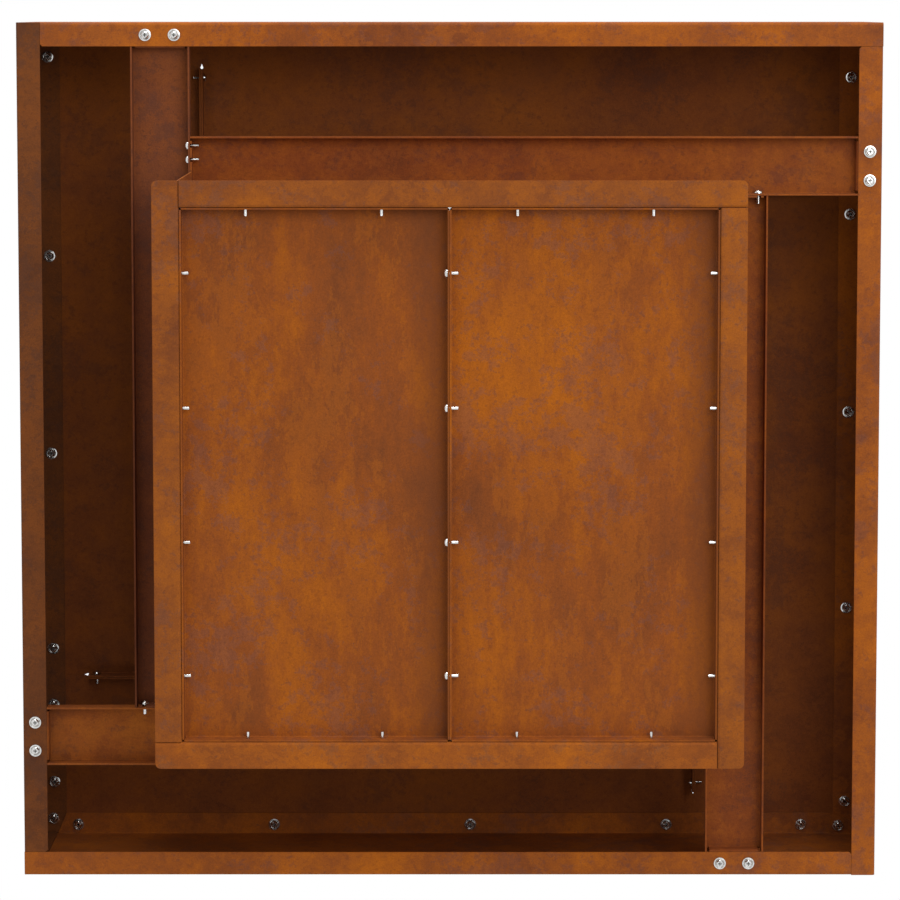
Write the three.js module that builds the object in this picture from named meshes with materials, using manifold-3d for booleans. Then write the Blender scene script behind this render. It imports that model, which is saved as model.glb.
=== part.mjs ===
// A square fire table of folded weathering steel.
//
// A wide shallow casing hangs round a deep fire box that stands on the ground on
// outward foot flanges. Each side of the table is the same set of folded sheets,
// turned a quarter turn from the last, so every corner overlaps like a pinwheel:
// one sheet runs through and its neighbour stops against it.
//
// Millimetres, +Z up. The ground is z = 0, the table's middle is x = y = 0, and
// each piece is drawn for the front side, which faces -Y.

import * as THREE from "three";
import { mergeVertices } from "three/addons/utils/BufferGeometryUtils.js";
import Module from "manifold-3d";

const wasm = await Module();
wasm.setup();

// The table as a whole
const tableWidth = 1000;
const tableHeight = 400;
const casingDepth = 200;
const fireboxWidth = 600;
const sheet = 2;
const foldRadius = 1;
const fit = 0.3;

// The casing's skirts, which are C-shaped panels with a fold back at one end
const skirtFlange = 27.5;
const skirtReturn = 17;
const skirtCornerCut = 2.5;

// The table top's plates, which have flanges down along their seams
const topFlange = 20;
const seamStop = 57;
const reliefRadius = 3;
const notchRadius = 1.6;
const notchLength = 6;

// The beams under the table, which are U-shaped channels open downwards
const beamWidth = 68.2;
const beamDepth = 20;
const beamTabWidth = 57.4;
const beamTabGap = 2;
const beamCornerGap = 2;

// The fire box
const footFlange = 27.8;
const footCorner = 6;
const floorRise = 22;
const floorFlange = 20;
const floorReliefRadius = 1.9;

// Screws with a round head and a socket. Large ones, with a flange under the head,
// are put in from below, and small plain ones go in sideways.
const threadLength = 12;
const threadChamfer = 0.7;
const socketDepth = 1.8;
const largeThread = 6;
const largeFlange = 14;
const largeFlangeHeight = 1.2;
const largeHead = 10.4;
const largeHeadTop = 7.6;
const largeHeadHeight = 3.3;
const largeSocket = 4.6;
const smallThread = 4;
const smallHead = 10.5;
const smallHeadEdge = 1.2;
const smallHeadTop = 6;
const smallHeadHeight = 3.8;
const smallSocket = 3;

// Where the screws sit
const edgeInset = 14.3;
const topEdgeInset = 13.3;
const beamEndPitch = 33.4;
const beamJointInset = 10.5;
const beamJointPitch = 16.4;
const floorScrewPitch = 150;
const floorScrewsPerSide = 4;
const plateScrewEnd = 42.2;
const plateScrewPitch = 241.6;
const plateScrewsPerSide = 4;
const seamScrewInset = 36.5;
const seamScrewPitch = 96.5;
const cornerScrewInset = 11.7;
const cornerScrewEnd = 21;

// How finely round things are cut, and how far a cut runs past its work
const foldSteps = 2;
const holeSides = 12;
const screwSides = 10;
const cornerSteps = 6;
const overrun = 5;

// Levels and lines that several pieces share
const half = tableWidth / 2;
const boxHalf = fireboxWidth / 2;
const outerRadius = foldRadius + sheet;
const casingBottom = tableHeight - casingDepth;
const plateUnder = tableHeight - sheet;
const skirtTop = plateUnder - fit;
const flangeInner = half - skirtFlange;
const beamInner = boxHalf + fit;
const beamOuter = beamInner + beamWidth;
const beamMiddle = (beamInner + beamOuter) / 2;
const beamTop = casingBottom + beamDepth;
const beamTail = beamInner - fit;
const beamHead = flangeInner - fit;
const beamScrewLevel = casingBottom + beamDepth / 2;
const beamEndScrews = [beamMiddle - beamEndPitch / 2, beamMiddle + beamEndPitch / 2];
const beamJointFar = beamOuter - beamJointInset;
const beamJointScrews = [beamJointFar - beamJointPitch, beamJointFar];
const floorHalf = boxHalf - sheet - fit;
const floorSeam = fit / 2;
const floorScrewLevel = floorRise - floorFlange / 2;
const floorScrewSpan = floorScrewPitch * (floorScrewsPerSide - 1);
const largeHole = largeThread / 2 + fit;
const smallHole = smallThread / 2 + fit;

function counted(count, place) {
  return Array.from({ length: count }, (_, i) => place(i));
}

const floorScrewPlaces = counted(
  floorScrewsPerSide,
  (i) => i * floorScrewPitch - floorScrewSpan / 2,
);

// Solids: geometry in, geometry out

function solidOf(geometry) {
  const plain = geometry.clone();
  plain.deleteAttribute("normal");
  plain.deleteAttribute("uv");
  const merged = mergeVertices(plain);
  const mesh = new wasm.Mesh({
    numProp: 3,
    vertProperties: new Float32Array(merged.attributes.position.array),
    triVerts: new Uint32Array(merged.index.array),
  });
  return new wasm.Manifold(mesh);
}

function geometryOf(solid) {
  const mesh = solid.getMesh();
  const geometry = new THREE.BufferGeometry();
  geometry.setAttribute("position", new THREE.BufferAttribute(mesh.vertProperties, 3));
  geometry.setIndex(new THREE.BufferAttribute(mesh.triVerts, 1));
  geometry.computeVertexNormals();
  return geometry;
}

function block(lowest, highest) {
  const size = highest.map((value, i) => value - lowest[i]);
  const middle = highest.map((value, i) => (value + lowest[i]) / 2);
  const geometry = new THREE.BoxGeometry(...size);
  geometry.translate(...middle);
  return solidOf(geometry);
}

// A section drawn in (y, z) runs along x, one drawn in (x, z) runs along y, and
// one drawn in (x, y) runs along z.
function extruded(axis, points, start, end) {
  const outline = new THREE.Shape(points.map((point) => new THREE.Vector2(...point)));
  const depth = end - start;
  const geometry = new THREE.ExtrudeGeometry(outline, { depth, bevelEnabled: false });
  const x = new THREE.Vector3(1, 0, 0);
  const y = new THREE.Vector3(0, 1, 0);
  const z = new THREE.Vector3(0, 0, 1);
  const frame = new THREE.Matrix4();
  if (axis === "x") {
    frame.makeBasis(y, z, x).setPosition(start, 0, 0);
  } else if (axis === "y") {
    frame.makeBasis(x, z, y.negate()).setPosition(0, end, 0);
  } else {
    frame.setPosition(0, 0, start);
  }
  geometry.applyMatrix4(frame);
  return solidOf(geometry);
}

// A drill that goes through one sheet at its middle. Its flats lie at the radius.
function drill(axis, radius, middle) {
  const corner = radius / Math.cos(Math.PI / holeSides);
  const length = sheet + 2 * overrun;
  const geometry = new THREE.CylinderGeometry(corner, corner, length, holeSides);
  if (axis === "x") {
    geometry.rotateZ(Math.PI / 2);
  } else if (axis === "z") {
    geometry.rotateX(Math.PI / 2);
  }
  geometry.translate(...middle);
  return solidOf(geometry);
}

function uprightRod(radius, sides, x, y, bottom, top) {
  const geometry = new THREE.CylinderGeometry(radius, radius, top - bottom, sides);
  geometry.rotateX(Math.PI / 2);
  geometry.translate(x, y, (bottom + top) / 2);
  return solidOf(geometry);
}

// Folding: a walk along one face of the sheet, with the sheet on its right hand

function roundedWalk(corners, radii, steps) {
  return corners.flatMap((corner, i) => {
    const radius = radii[i];
    if (!radius) {
      return [corner.toArray()];
    }
    const before = corner.clone().sub(corners[i - 1]).normalize();
    const after = corners[i + 1].clone().sub(corner).normalize();
    const turn = Math.sign(before.cross(after));
    const inward = new THREE.Vector2(-before.y, before.x).multiplyScalar(turn);
    const start = corner.clone().addScaledVector(before, -radius);
    const centre = start.clone().addScaledVector(inward, radius);
    const first = Math.atan2(start.y - centre.y, start.x - centre.x);
    return counted(steps + 1, (k) => {
      const angle = first + (turn * Math.PI * k) / (2 * steps);
      return [centre.x + radius * Math.cos(angle), centre.y + radius * Math.sin(angle)];
    });
  });
}

function foldedSection(walk) {
  const face = walk.map((point) => new THREE.Vector2(...point));
  const steps = face.slice(1).map((point, i) => point.clone().sub(face[i]).normalize());
  const rights = steps.map((step) => new THREE.Vector2(step.y, -step.x));
  const back = face.map((point, i) => {
    const moved = point.clone();
    for (const right of [rights[i - 1], rights[i]]) {
      if (right) {
        moved.addScaledVector(right, sheet);
      }
    }
    return moved;
  });
  const turnsRight = face.map((_, i) => {
    const isFold = i > 0 && i < steps.length;
    return isFold ? steps[i - 1].cross(steps[i]) < 0 : null;
  });
  const radiusWhere = (outside) => (right) => {
    if (right === null) {
      return 0;
    }
    return right === outside ? outerRadius : foldRadius;
  };
  const faceRadii = turnsRight.map(radiusWhere(true));
  const backRadii = turnsRight.map(radiusWhere(false));
  return [
    ...roundedWalk(face, faceRadii, foldSteps),
    ...roundedWalk(back.reverse(), backRadii.reverse(), foldSteps),
  ];
}

// Folds a flat sheet down along one edge. `edge` is how far out the new face
// stands, and `from` and `to` are where the fold starts and ends along the edge.
const quarterTurns = { back: 0, left: 1, front: 2, right: 3 };

function foldDown(flat, side, edge, from, to, top, drop) {
  const turns = quarterTurns[side];
  const [start, end] = turns < 2 ? [from, to] : [-to, -from];
  const lowest = [start, edge - outerRadius, top - sheet - overrun];
  const highest = [end, edge + overrun, top + overrun];
  const strip = block(lowest, highest);
  const walk = [
    [edge - 2 * outerRadius, top],
    [edge, top],
    [edge, top - drop],
  ];
  const fold = extruded("x", foldedSection(walk), start, end);
  const turn = [0, 0, 90 * turns];
  return flat.subtract(strip.rotate(turn)).add(fold.rotate(turn));
}

// The pieces of one side

// Where screws rise through a skirt's upper flange into the table top: a row for
// the side's own plate, two for the neighbour's plate, and one in the corner.
function skirtTopScrewPlaces() {
  const line = -half + topEdgeInset;
  const own = counted(plateScrewsPerSide, (i) => half - plateScrewEnd - i * plateScrewPitch);
  const nearSeam = -boxHalf - seamScrewInset;
  return [
    ...own.map((x) => [x, line]),
    [nearSeam, line],
    [nearSeam - seamScrewPitch, line],
    [-half + cornerScrewEnd, -half + cornerScrewInset],
  ];
}

function makeSkirt() {
  const start = -half + sheet + fit;
  const web = -half + sheet;
  const section = foldedSection([
    [-flangeInner, casingBottom],
    [-half, casingBottom],
    [-half, skirtTop],
    [-flangeInner, skirtTop],
  ]);
  let skirt = extruded("x", section, start, half);

  // The neighbour's lower flange runs through this corner.
  const overNeighbour = casingBottom + sheet + fit;
  const cornerEnd = -flangeInner + fit;
  const lowCorner = block(
    [-half - overrun, -half - overrun, casingBottom - overrun],
    [cornerEnd, -flangeInner + overrun, overNeighbour],
  );
  const cornerCut = [
    [cornerEnd - overrun, -flangeInner - skirtCornerCut - overrun],
    [cornerEnd + skirtCornerCut + overrun, -flangeInner + overrun],
    [cornerEnd - overrun, -flangeInner + overrun],
  ];
  const lowMitre = extruded("z", cornerCut, casingBottom - overrun, overNeighbour);

  // The upper flanges meet on a slanting line.
  const underFlange = skirtTop - outerRadius;
  const farEnd = [
    [half - skirtReturn, web],
    [half + overrun, web],
    [half + overrun, -flangeInner + overrun],
    [flangeInner - fit, -flangeInner + overrun],
    [flangeInner - fit, -flangeInner],
  ];
  const nearEnd = [
    [web - overrun, -half + skirtReturn - fit],
    [web, -half + skirtReturn - fit],
    [-flangeInner, -flangeInner],
    [-flangeInner, -flangeInner + overrun],
    [web - overrun, -flangeInner + overrun],
  ];
  const slants = [farEnd, nearEnd].map((outline) =>
    extruded("z", outline, underFlange, skirtTop + overrun),
  );
  skirt = skirt.subtract(lowCorner).subtract(lowMitre);
  for (const slant of slants) {
    skirt = skirt.subtract(slant);
  }

  // The fold back at the near end lies against the neighbour's web.
  const foldBack = block(
    [start, -half, overNeighbour],
    [start + sheet, -half + skirtReturn - fit, underFlange],
  );
  skirt = skirt.add(foldBack);

  for (const place of beamEndScrews) {
    const middle = [-place, -half + edgeInset, casingBottom + sheet / 2];
    skirt = skirt.subtract(drill("z", largeHole, middle));
  }
  for (const [x, y] of skirtTopScrewPlaces()) {
    skirt = skirt.subtract(drill("z", largeHole, [x, y, skirtTop - sheet / 2]));
  }
  return geometryOf(skirt);
}

function makeTopPlate() {
  const seam = -boxHalf;
  const lip = -boxHalf - fit;
  const stop = half - seamStop;
  const low = plateUnder - overrun;
  const high = tableHeight + overrun;
  let plate = block([seam, -half, plateUnder], [half, lip, tableHeight]);
  const lipStart = seam + reliefRadius + fit;
  plate = foldDown(plate, "back", lip, lipStart, stop, tableHeight, topFlange);
  const seamEnd = lip - reliefRadius - fit;
  plate = foldDown(plate, "left", -seam, -stop, seamEnd, tableHeight, topFlange);

  // Reliefs let the sheet fold without tearing: a round one where both folds meet,
  // and a drop-shaped one, shared with the neighbour, where each fold stops.
  plate = plate.subtract(uprightRod(reliefRadius, holeSides, seam, lip, low, high));
  const wide = stop + notchRadius;
  const tip = stop + notchLength;
  const drops = [
    { round: [seam, -wide], point: [seam, -tip], aside: [notchRadius, 0] },
    { round: [wide, lip], point: [tip, lip], aside: [0, notchRadius] },
  ];
  for (const { round, point, aside } of drops) {
    const [x, y] = round;
    const [dx, dy] = aside;
    const taper = [[x - dx, y - dy], point, [x + dx, y + dy]];
    plate = plate.subtract(uprightRod(notchRadius, holeSides, x, y, low, high));
    plate = plate.subtract(extruded("z", taper, low, high));
  }

  // The seam flanges are drilled for the screws that clamp them together.
  const level = tableHeight - topFlange / 2;
  const nearScrew = boxHalf + seamScrewInset;
  for (const along of [nearScrew, nearScrew + seamScrewPitch]) {
    plate = plate.subtract(drill("x", smallHole, [seam + sheet / 2, -along, level]));
    plate = plate.subtract(drill("y", smallHole, [along, lip - sheet / 2, level]));
  }
  return geometryOf(plate);
}

function makeBeam() {
  const section = foldedSection([
    [-beamOuter, casingBottom],
    [-beamOuter, beamTop],
    [-beamInner, beamTop],
    [-beamInner, casingBottom],
  ]);
  let beam = extruded("x", section, -beamTail, beamHead);

  // The tail is closed by a fold that bolts to the next beam's inner flange.
  const tailFrom = -beamOuter + outerRadius + beamCornerGap;
  const tailTo = -beamInner - outerRadius - beamCornerGap;
  beam = foldDown(beam, "left", beamTail, tailFrom, tailTo, beamTop, beamDepth);

  // The head steps down and out, to lie on the skirt's lower flange.
  const tabFrom = -beamMiddle - beamTabWidth / 2;
  const tabTo = -beamMiddle + beamTabWidth / 2;
  const tabUnder = casingBottom + sheet + fit;
  const tabEnd = half - sheet - beamTabGap;
  const step = foldedSection([
    [beamHead - 2 * outerRadius, beamTop],
    [beamHead, beamTop],
    [beamHead, tabUnder + sheet],
    [tabEnd, tabUnder + sheet],
  ]);
  const strip = block(
    [beamHead - outerRadius, tabFrom, beamTop - sheet - overrun],
    [beamHead + overrun, tabTo, beamTop + overrun],
  );
  beam = beam.subtract(strip).add(extruded("y", step, tabFrom, tabTo));

  for (const place of beamEndScrews) {
    const middle = [half - edgeInset, -place, tabUnder + sheet / 2];
    beam = beam.subtract(drill("z", largeHole, middle));
  }

  // The tail is slotted from below, so that it slides up over its screws.
  for (const place of beamJointScrews) {
    const middle = [-beamTail + sheet / 2, -place, beamScrewLevel];
    const slot = block(
      [-beamTail - overrun, -place - smallHole, casingBottom - overrun],
      [-beamTail + sheet + overrun, -place + smallHole, beamScrewLevel],
    );
    beam = beam.subtract(drill("x", smallHole, middle)).subtract(slot);
    const through = [place, -beamInner - sheet / 2, beamScrewLevel];
    beam = beam.subtract(drill("y", smallHole, through));
  }
  return geometryOf(beam);
}

function makeFireboxWall() {
  const inside = -boxHalf + sheet;
  const footEdge = boxHalf + footFlange;
  const start = inside + fit;
  const section = foldedSection([
    [inside, tableHeight],
    [inside, 0],
    [-footEdge, 0],
  ]);
  let wall = extruded("x", section, start, footEdge);

  // Below the casing the wall runs on past its neighbour, and carries a beam.
  const shoulder = casingBottom - fit;
  const aboveShoulder = block(
    [boxHalf, -boxHalf - overrun, shoulder],
    [footEdge + overrun, inside + overrun, tableHeight + overrun],
  );
  const corner = [
    [footEdge - footCorner, -footEdge],
    [footEdge, -footEdge],
    [footEdge, -footEdge + footCorner],
  ].map((point) => new THREE.Vector2(...point));
  const rounding = [
    ...roundedWalk(corner, [0, footCorner, 0], cornerSteps).slice(1, -1),
    [footEdge + overrun, -footEdge + footCorner],
    [footEdge + overrun, -footEdge - overrun],
    [footEdge - footCorner, -footEdge - overrun],
  ];
  const roundOff = extruded("z", rounding, -overrun, sheet + overrun);
  wall = wall.subtract(aboveShoulder).subtract(roundOff);
  for (const x of floorScrewPlaces) {
    wall = wall.subtract(drill("y", smallHole, [x, inside - sheet / 2, floorScrewLevel]));
  }
  return geometryOf(wall);
}

// The left half of the fire box's floor, a shallow tray turned upside down.
function makeFloorPlate() {
  const under = floorRise - sheet;
  let plate = block([-floorHalf, -floorHalf, under], [-floorSeam, floorHalf, floorRise]);
  const clear = floorReliefRadius + fit;
  const sides = [
    ["left", floorHalf, -floorHalf + clear, floorHalf - clear],
    ["right", -floorSeam, -floorHalf + clear, floorHalf - clear],
    ["front", floorHalf, -floorHalf + clear, -floorSeam - clear],
    ["back", floorHalf, -floorHalf + clear, -floorSeam - clear],
  ];
  for (const [side, edge, from, to] of sides) {
    plate = foldDown(plate, side, edge, from, to, floorRise, floorFlange);
  }
  const low = under - overrun;
  const high = floorRise + overrun;
  for (const x of [-floorHalf, -floorSeam]) {
    for (const y of [-floorHalf, floorHalf]) {
      plate = plate.subtract(uprightRod(floorReliefRadius, holeSides, x, y, low, high));
    }
  }
  const level = floorScrewLevel;
  const edgeMiddle = floorHalf - sheet / 2;
  for (const place of floorScrewPlaces) {
    plate = plate.subtract(drill("x", smallHole, [-edgeMiddle, place, level]));
    plate = plate.subtract(drill("x", smallHole, [-floorSeam - sheet / 2, place, level]));
    if (place < 0) {
      plate = plate.subtract(drill("y", smallHole, [place, -edgeMiddle, level]));
      plate = plate.subtract(drill("y", smallHole, [place, edgeMiddle, level]));
    }
  }
  return geometryOf(plate);
}

// A screw on the Y axis: its head rises from y = 0 and its thread hangs below.
function makeScrew({ thread, foot, top, height, socket }) {
  const profile = [
    [0, -threadLength],
    [thread / 2 - threadChamfer, -threadLength],
    [thread / 2, -threadLength + threadChamfer],
    [thread / 2, 0],
    ...foot,
    [top / 2, height],
    [socket / 2, height],
    [socket / 2, height - socketDepth],
    [0, height - socketDepth],
  ].map((point) => new THREE.Vector2(...point));
  return new THREE.LatheGeometry(profile, screwSides);
}

// Materials

const rust = { roughness: 0.85, metalness: 0.2 };
const skirtSteel = new THREE.MeshStandardMaterial({ color: 0x8f5229, ...rust });
const topSteel = new THREE.MeshStandardMaterial({ color: 0x7a4423, ...rust });
const beamSteel = new THREE.MeshStandardMaterial({ color: 0x844a27, ...rust });
const boxSteel = new THREE.MeshStandardMaterial({ color: 0x9a5628, ...rust });
const floorSteel = new THREE.MeshStandardMaterial({ color: 0xa05a26, ...rust });
const zinc = new THREE.MeshStandardMaterial({ color: 0xc9cacc, roughness: 0.3, metalness: 1 });

// Putting the table together

const skirtShape = makeSkirt();
const topPlateShape = makeTopPlate();
const beamShape = makeBeam();
const wallShape = makeFireboxWall();
const floorShape = makeFloorPlate();
const largeScrewShape = makeScrew({
  thread: largeThread,
  foot: [
    [largeFlange / 2, 0],
    [largeFlange / 2, largeFlangeHeight],
    [largeHead / 2, largeFlangeHeight],
  ],
  top: largeHeadTop,
  height: largeHeadHeight,
  socket: largeSocket,
});
const smallScrewShape = makeScrew({
  thread: smallThread,
  foot: [
    [smallHead / 2, 0],
    [smallHead / 2, smallHeadEdge],
  ],
  top: smallHeadTop,
  height: smallHeadHeight,
  socket: smallSocket,
});

function piece(name, geometry, material) {
  const mesh = new THREE.Mesh(geometry, material);
  mesh.name = name;
  return mesh;
}

// `seat` is the middle of the face that the head bears on, and the thread points
// along `direction`.
function screw(name, shape, seat, direction) {
  const mesh = piece(name, shape, zinc);
  const down = new THREE.Vector3(0, -1, 0);
  mesh.quaternion.setFromUnitVectors(down, new THREE.Vector3(...direction));
  mesh.position.set(...seat).addScaledVector(new THREE.Vector3(...direction), -fit);
  return mesh;
}

function beamEndScrewPieces(side) {
  return beamEndScrews.map((place, i) => {
    const seat = [half - edgeInset, -place, casingBottom];
    return screw(`${side}_beam_end_screw_${i + 1}`, largeScrewShape, seat, [0, 0, 1]);
  });
}

// The heads lie inside the through beam, except at the back beam, where the
// screws were put in from the other side.
function beamJointScrewPieces(side) {
  const fromInside = side !== "back";
  return beamJointScrews.map((place, i) => {
    const insideFace = -beamInner - sheet;
    const tailFace = -beamTail + sheet;
    const seat = [place, fromInside ? insideFace : tailFace, beamScrewLevel];
    const direction = [0, fromInside ? 1 : -1, 0];
    return screw(`${side}_beam_joint_screw_${i + 1}`, smallScrewShape, seat, direction);
  });
}

function floorScrewPieces(side) {
  return floorScrewPlaces.map((place, i) => {
    const seat = [place, -boxHalf, floorScrewLevel];
    return screw(`${side}_floor_screw_${i + 1}`, smallScrewShape, seat, [0, 1, 0]);
  });
}

function seamScrewPieces() {
  return floorScrewPlaces.map((place, i) => {
    const seat = [-floorSeam - sheet, place, floorScrewLevel];
    return screw(`floor_seam_screw_${i + 1}`, smallScrewShape, seat, [1, 0, 0]);
  });
}

const fireTable = new THREE.Group();

["front", "right", "back", "left"].forEach((side, i) => {
  const quarter = new THREE.Group();
  quarter.rotation.z = (i * Math.PI) / 2;
  quarter.add(piece(`${side}_skirt`, skirtShape, skirtSteel));
  quarter.add(piece(`${side}_top_plate`, topPlateShape, topSteel));
  quarter.add(piece(`${side}_beam`, beamShape, beamSteel));
  quarter.add(piece(`${side}_firebox_wall`, wallShape, boxSteel));
  quarter.add(...beamEndScrewPieces(side));
  quarter.add(...beamJointScrewPieces(side));
  quarter.add(...floorScrewPieces(side));
  fireTable.add(quarter);
});

const leftFloor = piece("left_floor_plate", floorShape, floorSteel);
const rightFloor = piece("right_floor_plate", floorShape, floorSteel);
rightFloor.rotation.z = Math.PI;
fireTable.add(leftFloor, rightFloor, ...seamScrewPieces());

export default fireTable;
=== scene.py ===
# %% [markdown]
# # A fire table of folded weathering steel, seen from below
#
# The object is a square fire box that stands on foot flanges and carries a wide, shallow
# table casing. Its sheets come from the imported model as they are, because their folds are
# already right. This lesson gives them their rust, and adds what the solids leave plain:
# screws with a real socket and thread, the screws of the table top, and the thin beads
# that close the seams.

import math

import bmesh
import bpy
from mathutils import Matrix, Vector


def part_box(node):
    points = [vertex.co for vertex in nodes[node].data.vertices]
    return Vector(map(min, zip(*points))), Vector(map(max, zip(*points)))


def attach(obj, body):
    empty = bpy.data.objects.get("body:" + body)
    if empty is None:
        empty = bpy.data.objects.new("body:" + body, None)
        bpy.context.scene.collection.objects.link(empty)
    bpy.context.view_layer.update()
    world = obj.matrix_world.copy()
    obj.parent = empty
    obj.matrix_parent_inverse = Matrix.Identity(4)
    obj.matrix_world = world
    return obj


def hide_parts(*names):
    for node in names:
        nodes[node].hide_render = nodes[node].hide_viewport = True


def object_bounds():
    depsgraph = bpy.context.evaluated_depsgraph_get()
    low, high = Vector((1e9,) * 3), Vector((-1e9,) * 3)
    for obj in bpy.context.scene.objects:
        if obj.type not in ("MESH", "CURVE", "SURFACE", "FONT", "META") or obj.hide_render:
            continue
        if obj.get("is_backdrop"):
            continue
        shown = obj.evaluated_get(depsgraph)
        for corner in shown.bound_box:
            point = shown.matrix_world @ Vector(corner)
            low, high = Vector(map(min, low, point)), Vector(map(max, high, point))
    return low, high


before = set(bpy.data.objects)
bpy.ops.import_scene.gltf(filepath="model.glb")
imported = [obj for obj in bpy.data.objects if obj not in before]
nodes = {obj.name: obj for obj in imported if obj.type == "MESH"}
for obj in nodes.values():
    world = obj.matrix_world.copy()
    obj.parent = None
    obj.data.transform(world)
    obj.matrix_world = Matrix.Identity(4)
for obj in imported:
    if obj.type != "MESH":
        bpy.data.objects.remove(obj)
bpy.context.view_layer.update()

# %% [markdown]
# ## The camera
#
# The photograph looks straight up at the table from below the ground, from a little in
# front of it. A camera that looks exactly along Z would need a large lens shift to frame
# the table, and that shift would cut it off in every other view. So the camera leans by a
# few degrees towards the table and keeps a small shift. That moves points of the picture
# by about two pixels on average, and by six at the most.

# %% Place the camera
LEAN = math.radians(4.853)
CAMERA_PLACE = (0, -0.5163, -3.73)

camera_data = bpy.data.cameras.new("camera")
camera_data.sensor_width = 36
camera_data.lens = 136.04
camera_data.shift_x = 0.0004
camera_data.shift_y = -0.17
camera_data.clip_end = 100
camera = bpy.data.objects.new("camera", camera_data)
bpy.context.scene.collection.objects.link(camera)
bpy.context.scene.camera = camera

right = Vector((1, 0, 0))
up = Vector((0, -math.cos(LEAN), math.sin(LEAN)))
turn = Matrix((right, up, right.cross(up))).transposed().to_4x4()
camera.matrix_world = Matrix.Translation(CAMERA_PLACE) @ turn
print("the camera leans", round(math.degrees(LEAN), 2), "degrees")

# %% [markdown]
# ## Colours, sizes and nodes
#
# Rust colours are picked as hex values, which are sRGB. Blender's shaders work in linear
# light, so one function turns them. Another turns a size in millimetres into the scale of
# a noise, a third adds a node with its settings and links, and a fourth starts a material.

# %% Four small helpers
MM = 0.001


def linear(text):
    shares = [int(text[i : i + 2], 16) / 255 for i in (0, 2, 4)]
    return (*[v / 12.92 if v <= 0.04045 else ((v + 0.055) / 1.055) ** 2.4 for v in shares], 1)


def across(size_mm):
    """A noise scale whose blotches are about so many millimetres across."""
    return 1 / (size_mm * MM)


def add(tree, kind, inputs=None, **settings):
    made = tree.nodes.new("ShaderNode" + kind)
    for name, value in settings.items():
        setattr(made, name, value)
    for name, value in (inputs or {}).items():
        if isinstance(value, bpy.types.NodeSocket):
            tree.links.new(value, made.inputs[name])
        else:
            made.inputs[name].default_value = value
    return made


def empty_material(name):
    material = bpy.data.materials.new(name)
    material.use_nodes = True
    material.node_tree.nodes.clear()
    return material, material.node_tree


print("a blotch of 25 mm has the noise scale", across(25))

# %% [markdown]
# ## Weathering steel
#
# This is sheet steel alloyed so that its own rust seals it. The skin is matt and dry, so
# it is rough and isn't metallic. Its orange is brighter where the young rust blooms, with
# small violet-grey flecks where mill scale is left, and folds and cut edges rub lighter.
#
# Measured on the photograph's floor, the rust is about three quarters as uneven at 10 mm
# as at 160 mm. A noise weakens with each finer octave by its roughness, so that takes a
# high one. The noise called rust does most of the work. On the floor it and the blooms are
# drawn out. Mill scale is left in clusters of flecks, so a wide noise is added to its own
# fine one, which lifts the flecks over the edge of their mask in places.

# %% The noises of the rust
NOISES = {  # size in millimetres, octaves, roughness, drawn out
    "clouds": (260, 3, 0.5, False),
    "rust": (90, 7, 0.81, True),
    "blooms": (60, 9, 0.8, True),
    "scale": (24, 7, 0.85, False),
    "clusters": (110, 2, 0.5, False),
    "flecks": (6, 4, 0.7, False),
    "grain": (1.6, 3, 0.5, False),
}
CLUSTER_LIFT = 0.4


def rust_noises(tree, place, run):
    drawn_out = add(tree, "Mapping", {"Vector": place, "Scale": run}).outputs["Vector"]
    made = {}
    for name, (size_mm, octaves, ragged, drawn) in NOISES.items():
        inputs = {"Scale": across(size_mm), "Detail": octaves, "Roughness": ragged}
        inputs["Vector"] = drawn_out if drawn else place
        made[name] = add(tree, "TexNoise", inputs).outputs["Fac"]
    lifted = {0: made["clusters"], 1: CLUSTER_LIFT, 2: made["scale"]}
    made["scale"] = add(tree, "Math", lifted, operation="MULTIPLY_ADD").outputs[0]
    return made


print("the rust has", len(NOISES), "noises")

# %% [markdown]
# A noise is grey and mostly near its middle. Each mask takes a range of one noise and
# spreads it over a range of its own, and a narrow range of the noise makes crisp edges. The
# bloom, the scale and the fleck end at the most that their colour covers. The cloud is added
# to the tone, which picks the rust's colour, the shade is a brightness, and the dryness is
# the roughness. Real grain is finer than 1.6 mm, but it wouldn't show in the picture.

# %% Where each colour shows
MASKS = {  # the noise, its range, and what the range becomes
    "cloud": ("clouds", 0.3, 0.7, -0.2, 0.2),
    "tone": ("rust", 0.27, 0.73, 0.0, 1.0),
    "bloom": ("blooms", 0.515, 0.53, 0.0, 0.26),
    "scale": ("scale", 0.752, 0.775, 0.0, 0.29),
    "fleck": ("flecks", 0.57, 0.61, 0.0, 0.25),
    "shade": ("grain", 0.3, 0.7, 0.88, 1.1),
    "dryness": ("rust", 0.4, 0.6, 0.74, 0.9),
}


def rust_masks(tree, noises):
    made = {}
    for name, (noise, low, high, start, end) in MASKS.items():
        inputs = {"Value": noises[noise], "From Min": low, "From Max": high}
        inputs.update({"To Min": start, "To Max": end})
        made[name] = add(tree, "MapRange", inputs).outputs["Result"]
    return made


print("and", len(MASKS), "masks")

# %% [markdown]
# Worn edges come from a Bevel node. It gives the normal that a rounded edge would have,
# and where that differs from the face's own normal, there is an edge. The dot product of
# the two is the cosine of the angle between them: wear begins at 11 degrees and is full at
# 37. The rounded normal also goes into the bump, so that the sharp model's edges catch the
# light.

# %% Worn edges
EDGE_MM = 0.9
WEAR_BEGINS, WEAR_FULL = 0.98, 0.8
MOST_WEAR = 0.5


def worn_edges(tree):
    soft = add(tree, "Bevel", {"Radius": EDGE_MM * MM}, samples=4).outputs["Normal"]
    flat = add(tree, "NewGeometry").outputs["Normal"]
    dot = add(tree, "VectorMath", {0: soft, 1: flat}, operation="DOT_PRODUCT")
    inputs = {"Value": dot.outputs["Value"], "To Max": MOST_WEAR}
    inputs.update({"From Min": WEAR_BEGINS, "From Max": WEAR_FULL})
    return soft, add(tree, "MapRange", inputs).outputs["Result"]


print("edges wear over", EDGE_MM, "mm")

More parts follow.
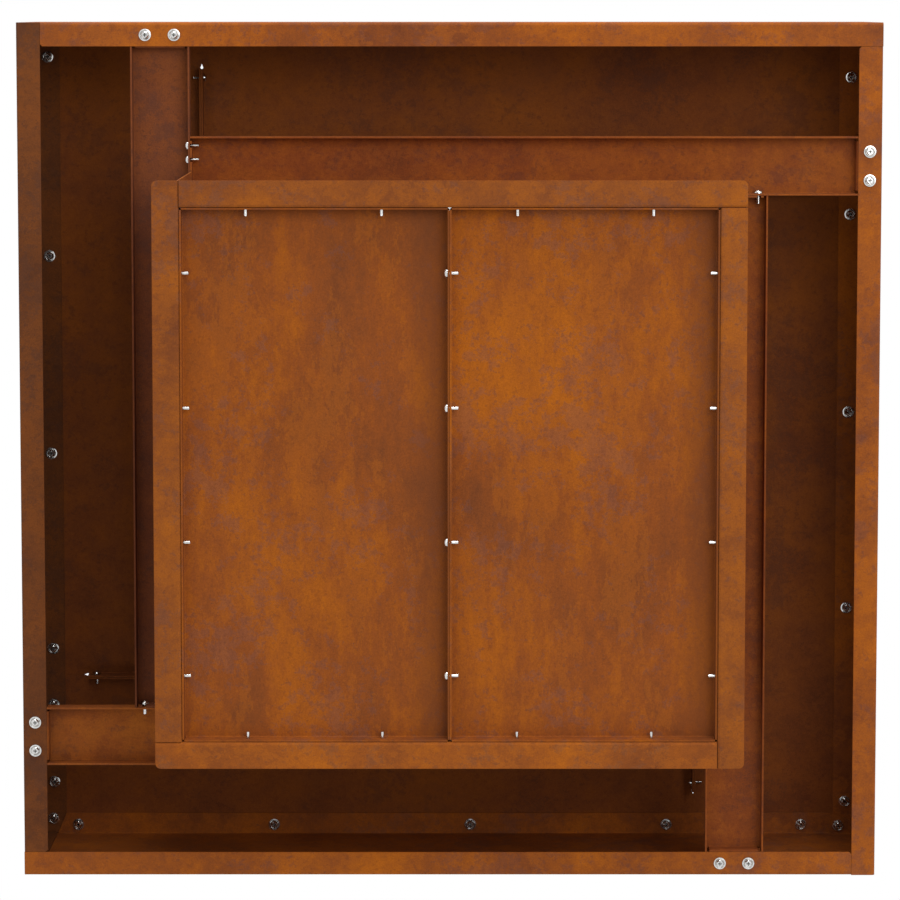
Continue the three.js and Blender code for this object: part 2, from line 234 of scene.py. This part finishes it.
# %% [markdown]
# The colours go on in layers, from the ground up. Rust is a powder that mirrors very
# little, so the specular level is low: otherwise the white room greys it.

# %% The rust skin
SPECULAR = 0.15
RELIEF = {"Distance": 0.25 * MM, "Strength": 0.5}


def rusted_steel(name, ground, deep, bright, scale_left, run=(1, 1, 1), edge=None):
    material, tree = empty_material(name)
    place = add(tree, "TexCoord").outputs["Object"]
    noises = rust_noises(tree, place, run)
    masks = rust_masks(tree, noises)
    soft, worn = worn_edges(tree)
    deep, bright = linear(deep), linear(bright)

    tone = add(tree, "Math", {0: masks["tone"], 1: masks["cloud"]}, operation="ADD")
    ramp = add(tree, "ValToRGB", {"Fac": tone.outputs[0]})
    ramp.color_ramp.elements[0].color = deep
    ramp.color_ramp.elements[1].color = bright
    ramp.color_ramp.elements.new(0.5).color = linear(ground)
    colour = ramp.outputs["Color"]

    grey = add(tree, "CombineColor", dict.fromkeys(("Red", "Green", "Blue"), masks["shade"]))
    layers = [("MIX", masks["bloom"], bright), ("MIX", masks["scale"], linear(scale_left))]
    layers += [("MIX", masks["fleck"], deep), ("MULTIPLY", 1.0, grey.outputs["Color"])]
    # On the floor plates this edge layer mixes in the deep rust as painted shade of the
    # flanges.
    if edge:
        layers.append(("MIX", edge(tree, place), deep))
    layers.append(("MIX", worn, bright))
    for kind, share, over in layers:
        inputs = {0: share, 6: colour, 7: over}
        colour = add(tree, "Mix", inputs, data_type="RGBA", blend_type=kind).outputs[2]

    height = add(tree, "Math", {0: noises["flecks"], 1: noises["grain"]}, operation="ADD")
    bumps = {"Height": height.outputs[0], "Normal": soft, **RELIEF}
    bump = add(tree, "Bump", bumps).outputs["Normal"]
    inputs = {"Base Color": colour, "Roughness": masks["dryness"], "Normal": bump}
    inputs.update({"Metallic": 0.0, "Specular IOR Level": SPECULAR})
    shader = add(tree, "BsdfPrincipled", inputs)
    add(tree, "OutputMaterial", {"Surface": shader.outputs[0]})
    return material


print("one recipe makes every rust")

# %% [markdown]
# The floor lies under the fire, which may be why its orange is stronger and more mottled,
# with grey-violet scale. A scale of 0.4 along Y draws its blotches out that way, which is
# taken as the way the sheet was rolled.
#
# In the photograph each of its two plates darkens over its last 50 mm towards the flange on
# its right, over about 20 mm towards the front one, and hardly towards the others. That is
# probably the shade of the flanges in low light from the right and the front. The lamps
# here give the front's, but only a part of the right's, so towards the right edge the deep
# rust is mixed in as painted shade. Wrapping X at the width of a plate gives both plates the
# same painted shade.

# %% The painted shade at the right edge of a floor plate
PLATE_WIDTH = 0.3
DARKENS_MM, DARKEST_MM = 50, 20
DARK_SHARE = 0.55


# Painted shade: how much deep rust is mixed in towards a plate's right edge.
def painted_plate_shade(tree, place):
    x = add(tree, "SeparateXYZ", {"Vector": place}).outputs["X"]
    on_plate = add(tree, "Math", {0: x, 1: PLATE_WIDTH, 2: 0.0}, operation="WRAP").outputs[0]
    begins, full = PLATE_WIDTH - DARKENS_MM * MM, PLATE_WIDTH - DARKEST_MM * MM
    inputs = {"Value": on_plate, "From Min": begins, "From Max": full}
    inputs.update({"To Min": 0, "To Max": DARK_SHARE})
    return add(tree, "MapRange", inputs).outputs["Result"]


print("a floor plate darkens over", DARKENS_MM, "mm")

# %% [markdown]
# Each family of sheets has its own four colours. The left skirt and the left beam are
# browner than the other three, and the back wall and the back beam are brighter, so they
# come first: a sheet takes the first name that its own name ends with.

# %% Give the sheets their rust
RUSTS = {  # slot, name, and the ground, the deep and the bright rust and the mill scale
    "left_skirt": ("skirt_steel", "brown_weathering_steel", "663819 4f2a14 7b431a 483027"),
    "left_beam": ("beam_steel", "dark_channel_steel", "66361f 532b1a 7a4220 47302a"),
    "back_beam": ("beam_steel", "bright_channel_steel", "87461a 683515 a25c1d 5a362d"),
    "back_firebox_wall": ("firebox_steel", "bright_box_steel", "8c4a17 6a3616 aa5d13 674734"),
    "skirt": ("skirt_steel", "folded_weathering_steel", "8b4919 69361b ab5d15 65423a"),
    "top_plate": ("top_steel", "shaded_weathering_steel", "793f19 613015 8a4a18 4f3024"),
    "beam": ("beam_steel", "channel_weathering_steel", "7b3d17 5f2e13 94501a 522f28"),
    "firebox_wall": ("firebox_steel", "fire_box_steel", "814519 623218 9d5615 5f4239"),
    "floor_plate": ("floor_steel", "heated_weathering_steel", "834316 663516 a2570e 67463f"),
}
FLOOR_RUST_AND_SHADE = {"run": (1, 0.4, 1), "edge": painted_plate_shade}

steel = {}
for ending, (slot, name, colours) in RUSTS.items():
    special = FLOOR_RUST_AND_SHADE if ending == "floor_plate" else {}
    steel[ending] = (rusted_steel(name, *colours.split(), **special), slot)


def give_rust(piece, ending):
    material, slot = steel[ending]
    piece.data.materials.clear()
    piece.data.materials.append(material)


sheets = 0
for name, sheet in nodes.items():
    for ending in steel:
        if name.endswith(ending):
            give_rust(sheet, ending)
            sheets += 1
            break
print("rust on", sheets, "sheets")

# %% [markdown]
# ## Zinc-plated screws
#
# Zinc plating is a thin bright metal skin, fully metallic, with faint clouds a few
# millimetres across. It is smooth enough to mirror what is round it, and that is probably
# what draws the dark crescents and bright arcs on the heads in the photograph.

# %% The zinc finish
CLOUD_MM = 3
CLOUD_COLOURS = {0.35: "c4c3c0", 0.65: "dededc"}
SMOOTHEST, ROUGHEST = 0.12, 0.24

zinc, tree = empty_material("zinc_plated_steel")
place = add(tree, "TexCoord").outputs["Object"]
inputs = {"Vector": place, "Scale": across(CLOUD_MM), "Detail": 4}
cloudy = add(tree, "TexNoise", inputs).outputs["Fac"]
tint = add(tree, "ValToRGB", {"Fac": cloudy})
for stop, (position, colour) in zip(tint.color_ramp.elements, CLOUD_COLOURS.items()):
    stop.position, stop.color = position, linear(colour)
inputs = {"Value": cloudy, "From Min": 0.3, "From Max": 0.7}
inputs.update({"To Min": SMOOTHEST, "To Max": ROUGHEST})
shine = add(tree, "MapRange", inputs).outputs["Result"]
bump = add(tree, "Bump", {"Height": cloudy, "Distance": 0.05 * MM, "Strength": 0.12})
inputs = {"Base Color": tint.outputs["Color"], "Roughness": shine, "Metallic": 1.0}
shader = add(tree, "BsdfPrincipled", {**inputs, "Normal": bump.outputs["Normal"]})
add(tree, "OutputMaterial", {"Surface": shader.outputs[0]})
print("made", zinc.name)

# %% [markdown]
# ## One screw, modelled as by hand
#
# A short cylinder is the foot of the head. Its end faces are then inset and extruded, and
# each step makes them wider or narrower. An end face is selected by its normal.

# %% Helpers for modelling
ROUND = 32


def head_foot(size):
    height = size["foot_height"] * MM
    bpy.ops.object.select_all(action="DESELECT")
    bpy.ops.mesh.primitive_cylinder_add(
        vertices=ROUND, radius=size["foot"] / 2 * MM, depth=height, location=(0, 0, height / 2)
    )
    bpy.ops.object.transform_apply(location=True, rotation=True, scale=True)
    return bpy.context.object


def select_end(piece, way):
    """Selects the faces that look up, for 1, or down, for -1."""
    bpy.ops.object.mode_set(mode="EDIT")
    bpy.ops.mesh.select_mode(type="FACE")
    bpy.ops.mesh.select_all(action="DESELECT")
    shape = bmesh.from_edit_mesh(piece.data)
    for face in shape.faces:
        face.select = face.normal.z * way > 0.9
    shape.select_flush_mode()
    bmesh.update_edit_mesh(piece.data)


def pull(distance, widen):
    """Extrudes the selected end face along Z and makes it wider or narrower."""
    bpy.ops.mesh.extrude_region_move(TRANSFORM_OT_translate={"value": (0, 0, distance)})
    bpy.ops.transform.resize(value=(widen, widen, 1), center_override=(0, 0, 0))


print("a screw has", ROUND, "sides")

# %% [markdown]
# Steps that get narrower make the dome. On a head with a flange, a groove runs round the
# dome. Its floor slopes in, so that it mirrors what stands beside the screw and not the
# white room below. The flange slopes outwards by 7 degrees: a flat one would mirror only
# the dark skirt on the heads deep in the casing, where the photograph has light arcs. Both
# slopes are guesses that bring the brightness near.

# %% The dome, from the foot up
DOME_STEPS = 5
GROOVE_DEPTH = 0.7 * MM
FLANGE_RISE = 0.15 * MM


def raise_dome(screw, size):
    select_end(screw, 1)
    radius, dome, top = (size[name] / 2 * MM for name in ("foot", "dome", "top"))
    rise = (size["height"] - size["foot_height"]) * MM
    if dome < radius:
        groove = size["groove"] / 2 * MM
        bpy.ops.mesh.inset(thickness=radius - groove, depth=FLANGE_RISE)
        pull(-GROOVE_DEPTH, dome / groove)
        rise += GROOVE_DEPTH - FLANGE_RISE
    last = math.acos(top / dome)
    width, level = dome, 0.0
    for i in range(1, DOME_STEPS + 1):
        angle = last * i / DOME_STEPS
        new_width, new_level = dome * math.cos(angle), rise * math.sin(angle) / math.sin(last)
        pull(new_level - level, new_width / width)
        width, level = new_width, new_level


print("a groove is", GROOVE_DEPTH / MM, "mm deep; a flange rises by", FLANGE_RISE / MM, "mm")

# %% [markdown]
# The thread is pulled down from the foot's lower face in half pitches, in and out, so that
# ridges show. They are rings and not a helix, which nobody can tell at this size. A metric
# thread is 0.613 of its pitch deep, but at this size that renders much darker than the
# threads in the photograph, so the ridges are kept shallower. The last step is what is left
# of the screw's length, which is at least a tenth of a pitch.

# %% The thread, from the foot down
THREAD_DEPTH = 0.1
LEAST_TIP = 0.1


def lower_thread(screw, size):
    select_end(screw, -1)
    outer, pitch, length = size["thread"] / 2 * MM, size["pitch"] * MM, size["length"] * MM
    inner = outer - THREAD_DEPTH * pitch
    bpy.ops.mesh.inset(thickness=size["foot"] / 2 * MM - outer, depth=0)
    ridges = math.floor(size["length"] / size["pitch"] - LEAST_TIP)
    for _ in range(ridges):
        pull(-pitch / 2, inner / outer)
        pull(-pitch / 2, outer / inner)
    pull(ridges * pitch - length, inner / outer)
    bpy.ops.object.mode_set(mode="OBJECT")


print("a thread is", THREAD_DEPTH, "of its pitch deep")

# %% [markdown]
# The recess is cut by two crossed bars with four sides, each lying on an edge, so that it
# narrows downwards. A bar is about a quarter as wide as it is long. Light that goes in
# bounces many times and comes out dark.

# %% The cross recess
RECESS_DEPTH = 1.8 * MM
SLIT_SHARE = 0.24


def cut_recess(screw, size):
    span, slit = size["socket"] * MM, size["socket"] * SLIT_SHARE * MM
    for turn in (0, math.pi / 2):
        bpy.ops.object.select_all(action="DESELECT")
        bpy.ops.mesh.primitive_cylinder_add(vertices=4, radius=1, depth=1)
        bar = bpy.context.object
        bar.data.transform(Matrix.Rotation(math.pi / 2, 4, "Y"))
        bar.scale = (span, slit / 2, RECESS_DEPTH)
        bar.rotation_euler = (0, 0, turn)
        bar.location = (0, 0, size["height"] * MM)
        bpy.ops.object.select_all(action="DESELECT")
        screw.select_set(True)
        bpy.context.view_layer.objects.active = screw
        cut = screw.modifiers.new("recess", "BOOLEAN")
        cut.operation, cut.object, cut.solver = "DIFFERENCE", bar, "EXACT"
        bpy.ops.object.modifier_apply(modifier=cut.name)
        bpy.data.objects.remove(bar)


print("the recess is", RECESS_DEPTH / MM, "mm deep")

# %% [markdown]
# A whole screw is the foot, the dome, the thread and the recess. Round parts are shaded
# smooth, and sharper edges stay crisp.

# %% The whole screw
CRISP_DEGREES = 32


def model_screw(name, size):
    screw = head_foot(size)
    screw.name = name
    raise_dome(screw, size)
    lower_thread(screw, size)
    cut_recess(screw, size)
    bpy.ops.object.shade_smooth_by_angle(angle=math.radians(CRISP_DEGREES))
    screw.data.materials.clear()
    screw.data.materials.append(zinc)
    tip = round(min(corner.co.z for corner in screw.data.vertices) / MM, 4)
    print(name, "has", len(screw.data.polygons), "faces and ends at", tip, "mm")
    return screw


print("edges sharper than", CRISP_DEGREES, "degrees stay crisp")

# %% [markdown]
# The heads that are put in from below are 14 mm wide and have a flange. Those that go in
# sideways are 10.5 mm wide and plain. The third kind is a large one with a short thread,
# for the table top: its tip ends under the plate, whose upper face has no holes.

# %% The three kinds
# In millimetres: foot, groove, dome, top, socket and thread are widths.
LARGE = {"foot": 14, "foot_height": 1.2, "groove": 11.6, "dome": 9.6, "top": 6.4, "height": 3.3}
LARGE |= {"socket": 4.6, "thread": 6, "pitch": 1.0, "length": 12}
SMALL = {"foot": 10.5, "foot_height": 1.2, "dome": 10.5, "top": 6, "height": 3.8}
SMALL |= {"socket": 3.0, "thread": 4, "pitch": 0.7, "length": 12}
KINDS = {"large": LARGE, "small": SMALL, "short": {**LARGE, "length": 2}}

patterns = {}
for kind, size in KINDS.items():
    patterns[kind] = model_screw(f"{kind}_pattern", size)

# %% [markdown]
# Each screw is a copy of its pattern, with a mesh of its own. The mesh is turned and moved,
# and not the object, so that every finished piece's object sits at the origin. The table
# looks the same after each quarter turn, so places are written for the front side.

# %% Helpers for placing screws
def seated(kind, name, seat, direction):
    """A screw with its head's underside on `seat`, pushed in along `direction`."""
    shape = patterns[kind].data.copy()
    turn = Vector((0, 0, -1)).rotation_difference(Vector(direction)).to_matrix().to_4x4()
    shape.transform(Matrix.Translation(seat) @ turn)
    copy = bpy.data.objects.new(name, shape)
    bpy.context.scene.collection.objects.link(copy)
    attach(copy, "root")
    return copy


def quarter(point, turns):
    x, y, z = point
    for _ in range(turns):
        x, y = -y, x
    return Vector((x, y, z))


SIDES = ["front", "right", "back", "left"]
print(len(patterns), "kinds of screw for", len(SIDES), "sides")

# %% [markdown]
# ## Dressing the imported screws
#
# Every packed screw is replaced by a finished one at the same place. Its axis runs through
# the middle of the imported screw's box, and its tip lies at the box's end. The joint screws
# of the back beam go in from the other side, as in the photograph.

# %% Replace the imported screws
def dress(node, kind, direction):
    low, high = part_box(node)
    direction = Vector(direction)
    length = KINDS[kind]["length"] * MM
    reach = sum(abs(d) * (b - a) for d, a, b in zip(direction, low, high))
    tip = (low + high) / 2 + direction * reach / 2
    copy = seated(kind, node + "_finished", tip - direction * length, direction)
    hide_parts(node)


dressed = 0
for turns, side in enumerate(SIDES):
    inward = -1 if side == "back" else 1
    for i in (1, 2):
        dress(f"{side}_beam_end_screw_{i}", "large", (0, 0, 1))
        dress(f"{side}_beam_joint_screw_{i}", "small", quarter((0, inward, 0), turns))
        dressed += 2
    for i in (1, 2, 3, 4):
        dress(f"{side}_floor_screw_{i}", "small", quarter((0, 1, 0), turns))
        dressed += 1
for i in (1, 2, 3, 4):
    dress(f"floor_seam_screw_{i}", "small", (1, 0, 0))
    dressed += 1
print("dressed", dressed, "screws")

# %% [markdown]
# ## The screws of the table top
#
# Seven screws a side rise through the skirt's upper flange, in the holes that the skirt
# has: four in a row, two beside the seam and one in the corner. Two more a side clamp the
# seam flanges of neighbouring top plates. The sheets are 2 mm thick and stay 0.3 mm apart,
# so the flange's underside lies two sheets and one gap below the table top.

# %% Add the table top's screws
TABLE_TOP, HALF_TABLE, HALF_BOX = 0.4, 0.5, 0.3
SHEET, FIT = 2 * MM, 0.3 * MM
# In millimetres: how far the screws stand in from an edge, and from each other.
ROW_INSET, ROW_END, ROW_PITCH = 13.3, 42.2, 241.6
SEAM_INSET, SEAM_PITCH, SEAM_SCREW_DROP = 36.5, 96.5, 10
CORNER_END, CORNER_INSET = 21, 11.7

flange_under = TABLE_TOP - 2 * SHEET - FIT
seam_level = TABLE_TOP - SEAM_SCREW_DROP * MM
near_seam = -HALF_BOX - SEAM_INSET * MM
beside_seam = [near_seam, near_seam - SEAM_PITCH * MM]
row = [HALF_TABLE - (ROW_END + ROW_PITCH * i) * MM for i in range(4)]
places = [(x, -HALF_TABLE + ROW_INSET * MM) for x in row + beside_seam]
places.append((-HALF_TABLE + CORNER_END * MM, -HALF_TABLE + CORNER_INSET * MM))
added = 0
for turns, side in enumerate(SIDES):
    for i, (x, y) in enumerate(places):
        seat = quarter((x, y, flange_under - FIT), turns)
        seated("short", f"{side}_top_screw_{i + 1}", seat, (0, 0, 1))
        added += 1
    for i, y in enumerate(beside_seam):
        seat = quarter((-HALF_BOX + SHEET + FIT, y, seam_level), turns)
        seated("small", f"{side}_top_seam_screw_{i + 1}", seat, quarter((-1, 0, 0), turns))
        added += 1
for pattern in patterns.values():
    bpy.data.objects.remove(pattern)
print("added", added, "screws")

# %% [markdown]
# ## Seam beads
#
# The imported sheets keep 0.3 mm apart, where the real ones touch, so daylight would shine
# through the seams. A thin bead closes each one. It leaves the drop-shaped reliefs open,
# because the photograph shows daylight in them.

# %% Close the seams
BEADS = {  # the lowest and the highest corner, on the front side
    "seam_bead": ((-0.3003, -0.4425, 0.3945), (-0.3, -0.3036, 0.3965)),
    "edge_bead": ((-0.3003, -0.4995, 0.3981), (-0.3, -0.4492, 0.3999)),
}
FLOOR_BEAD = ((-0.00015, -0.294, 0.0165), (0.00015, 0.294, 0.0195))
ROUNDING = 0.25


def bead(name, low, high, turns, ending):
    low, high = Vector(low), Vector(high)
    bpy.ops.object.select_all(action="DESELECT")
    bpy.ops.mesh.primitive_cube_add(size=1, location=(low + high) / 2)
    strip = bpy.context.object
    strip.name = name
    strip.scale = high - low
    bpy.ops.object.transform_apply(location=True, rotation=True, scale=True)
    bpy.ops.object.mode_set(mode="EDIT")
    bpy.ops.mesh.select_all(action="SELECT")
    bpy.ops.mesh.bevel(offset=min(high - low) * ROUNDING, segments=2)
    bpy.ops.object.mode_set(mode="OBJECT")
    strip.data.transform(Matrix.Rotation(math.pi / 2 * turns, 4, "Z"))
    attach(strip, "root")
    give_rust(strip, ending)


for turns, side in enumerate(SIDES):
    for name, (low, high) in BEADS.items():
        bead(f"{side}_{name}", low, high, turns, "top_plate")
bead("floor_seam_bead", *FLOOR_BEAD, 0, "floor_plate")
print("closed", len(SIDES) * len(BEADS) + 1, "seams")

# %% [markdown]
# ## Floor, lamps and background
#
# The floor is a plain pale plane at the feet. The photograph looks up from below it, so
# the plane can be seen through from its underside and lets light pass. Only the camera
# sees it, or the shaded floor would keep the room's light off the underside.

# %% The floor
FLOOR_WIDTH = 14
FLOOR_DROP = 0.5 * MM

bpy.ops.object.select_all(action="DESELECT")
bpy.ops.mesh.primitive_plane_add(size=FLOOR_WIDTH, location=(0, 0, -FLOOR_DROP))
floor = bpy.context.object
floor.name = "floor"
floor.visible_shadow = floor.visible_diffuse = floor.visible_glossy = False
paving, tree = empty_material("pale_floor")
pale = add(tree, "BsdfDiffuse", {"Color": linear("e9e8e6")})
clear = add(tree, "BsdfTransparent")
under = add(tree, "NewGeometry").outputs["Backfacing"]
sided = add(tree, "MixShader", {0: under, 1: pale.outputs[0], 2: clear.outputs[0]})
add(tree, "OutputMaterial", {"Surface": sided.outputs[0]})
floor.data.materials.append(paving)
floor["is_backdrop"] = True
print("the floor lies", FLOOR_DROP / MM, "mm under the feet")

# %% [markdown]
# A large soft lamp below gives most of the light. The photograph doesn't show where its
# lamps stood. This one stands a little in front and to the right, because the four pockets
# then come out near their levels in the photograph. A low one in front lights the faces
# that look forwards. Two soft lamps above serve the other views.

# %% The lamps
LAMPS = {  # place and width in metres, and power in watts
    "under_lamp": ((1.2, -1.4, -3.0), 2.4, 63),
    "low_front_lamp": ((0.2, -4.2, -0.4), 2.0, 110),
    "front_lamp": ((-1.6, -3.0, 2.4), 2.2, 50),
    "side_lamp": ((3.0, 1.2, 2.6), 2.4, 36),
}
AIM = Vector((0, 0, 0.2))

for name, (place, width, power) in LAMPS.items():
    data = bpy.data.lights.new(name, "AREA")
    data.size, data.energy = width, power
    lamp = bpy.data.objects.new(name, data)
    lamp.location = place
    lamp.rotation_euler = (AIM - Vector(place)).to_track_quat("-Z", "Y").to_euler()
    lamp.visible_camera = False
    bpy.context.scene.collection.objects.link(lamp)
print(len(LAMPS), "lamps")

# %% [markdown]
# The background is white to the camera, and to metal, which mirrors it. As a source of
# light it is dimmer.

# %% The world
WHITE, ROOM = 1.0, 0.7

world = bpy.data.worlds.new("studio")
bpy.context.scene.world = world
world.use_nodes = True
tree = world.node_tree
tree.nodes.clear()
rays = add(tree, "LightPath").outputs
mirrored = {0: rays["Is Glossy Ray"], 1: rays["Is Transmission Ray"]}
mirror = add(tree, "Math", mirrored, operation="ADD").outputs[0]
inputs = {0: rays["Is Camera Ray"], 1: mirror}
seen = add(tree, "Math", inputs, operation="ADD", use_clamp=True)
room = add(tree, "Background", {"Color": (1, 1, 1, 1), "Strength": ROOM})
white = add(tree, "Background", {"Color": (1, 1, 1, 1), "Strength": WHITE})
mix = add(tree, "MixShader", {0: seen.outputs[0], 1: room.outputs[0], 2: white.outputs[0]})
add(tree, "OutputWorld", {"Surface": mix.outputs[0]})
bpy.context.scene.view_settings.view_transform = "Standard"
print("white to the camera, softer as light")

# %% [markdown]
# ## The size
#
# The box round everything that renders, the floor left out, is measured. Nothing added may
# stick out of the imported model's box.

# %% Measure the size
low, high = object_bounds()
